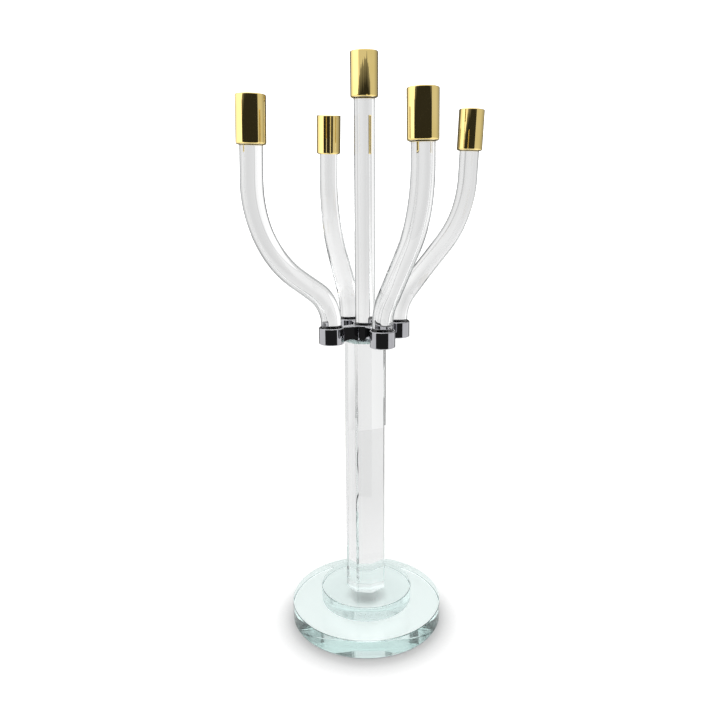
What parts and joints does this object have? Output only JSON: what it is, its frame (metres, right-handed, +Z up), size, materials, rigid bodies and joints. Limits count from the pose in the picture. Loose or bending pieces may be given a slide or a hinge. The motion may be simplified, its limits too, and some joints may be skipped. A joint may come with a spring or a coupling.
{
  "type": "menorah",
  "caption": "Table menorah with a stepped glass foot, eight-sided glass stem, plated hub, bent glass arms and lift-off metal candle cups.",
  "frame": {"origin": "centre of the underside of the base disc, on the surface that the menorah stands on", "axes": "+Z up the stem; -Y along the socket of the front arm, +X along that of the right arm"},
  "size_m": [0.2677, 0.2593, 0.581],
  "materials": {
    "foot_glass": "polished clear glass with a green cast",
    "rod_glass": "polished clear glass",
    "hub_chrome": "bright chrome plate",
    "liner_rubber": "soft dark rubber",
    "cup_gold": "bright gold plate"
  },
  "bodies": {
    "stand": {"base_disc": "foot_glass", "step_disc": "foot_glass", "stem": "rod_glass", "hub_cross": "hub_chrome", "socket_front": "hub_chrome", "socket_right": "hub_chrome", "socket_back": "hub_chrome", "socket_left": "hub_chrome", "liner_centre": "liner_rubber", "liner_front": "liner_rubber", "liner_right": "liner_rubber", "liner_back": "liner_rubber", "liner_left": "liner_rubber", "centre_rod": "rod_glass"},
    "front_arm": {"arm_front": "rod_glass"},
    "right_arm": {"arm_right": "rod_glass"},
    "back_arm": {"arm_back": "rod_glass"},
    "left_arm": {"arm_left": "rod_glass"},
    "centre_cup": {"candle_cup_centre": "cup_gold"},
    "front_cup": {"candle_cup_front": "cup_gold"},
    "right_cup": {"candle_cup_right": "cup_gold"},
    "back_cup": {"candle_cup_back": "cup_gold"},
    "left_cup": {"candle_cup_left": "cup_gold"}
  },
  "joints": [
    {"name": "front_arm_swivel", "type": "hinge", "parent": "stand", "child": "front_arm", "pos_m": [0, -0.037, 0.3275], "axis": [0, 0, 1], "range_deg": [-40.5, 49.5]},
    {"name": "right_arm_swivel", "type": "hinge", "parent": "stand", "child": "right_arm", "pos_m": [0.037, 0, 0.3275], "axis": [0, 0, 1], "range_deg": [-48, 42]},
    {"name": "back_arm_swivel", "type": "hinge", "parent": "stand", "child": "back_arm", "pos_m": [0, 0.037, 0.3275], "axis": [0, 0, 1], "range_deg": [-35, 55]},
    {"name": "left_arm_swivel", "type": "hinge", "parent": "stand", "child": "left_arm", "pos_m": [-0.037, 0, 0.3275], "axis": [0, 0, 1], "range_deg": [-60, 30]},
    {"name": "centre_cup_lift", "type": "slide", "parent": "stand", "child": "centre_cup", "axis": [0, 0, 1], "range_m": [0, 0.03]},
    {"name": "front_cup_lift", "type": "slide", "parent": "front_arm", "child": "front_cup", "axis": [0.0027, 0.0348, 0.9994], "range_m": [0, 0.03]},
    {"name": "right_cup_lift", "type": "slide", "parent": "right_arm", "child": "right_cup", "axis": [0.0436, 0.0023, 0.999], "range_m": [0, 0.03]},
    {"name": "back_cup_lift", "type": "slide", "parent": "back_arm", "child": "back_cup", "axis": [-0.0151, -0.0858, 0.9962], "range_m": [0, 0.03]},
    {"name": "left_cup_lift", "type": "slide", "parent": "left_arm", "child": "left_cup", "axis": [0.0337, 0.009, 0.9994], "range_m": [0, 0.03]}
  ]
}
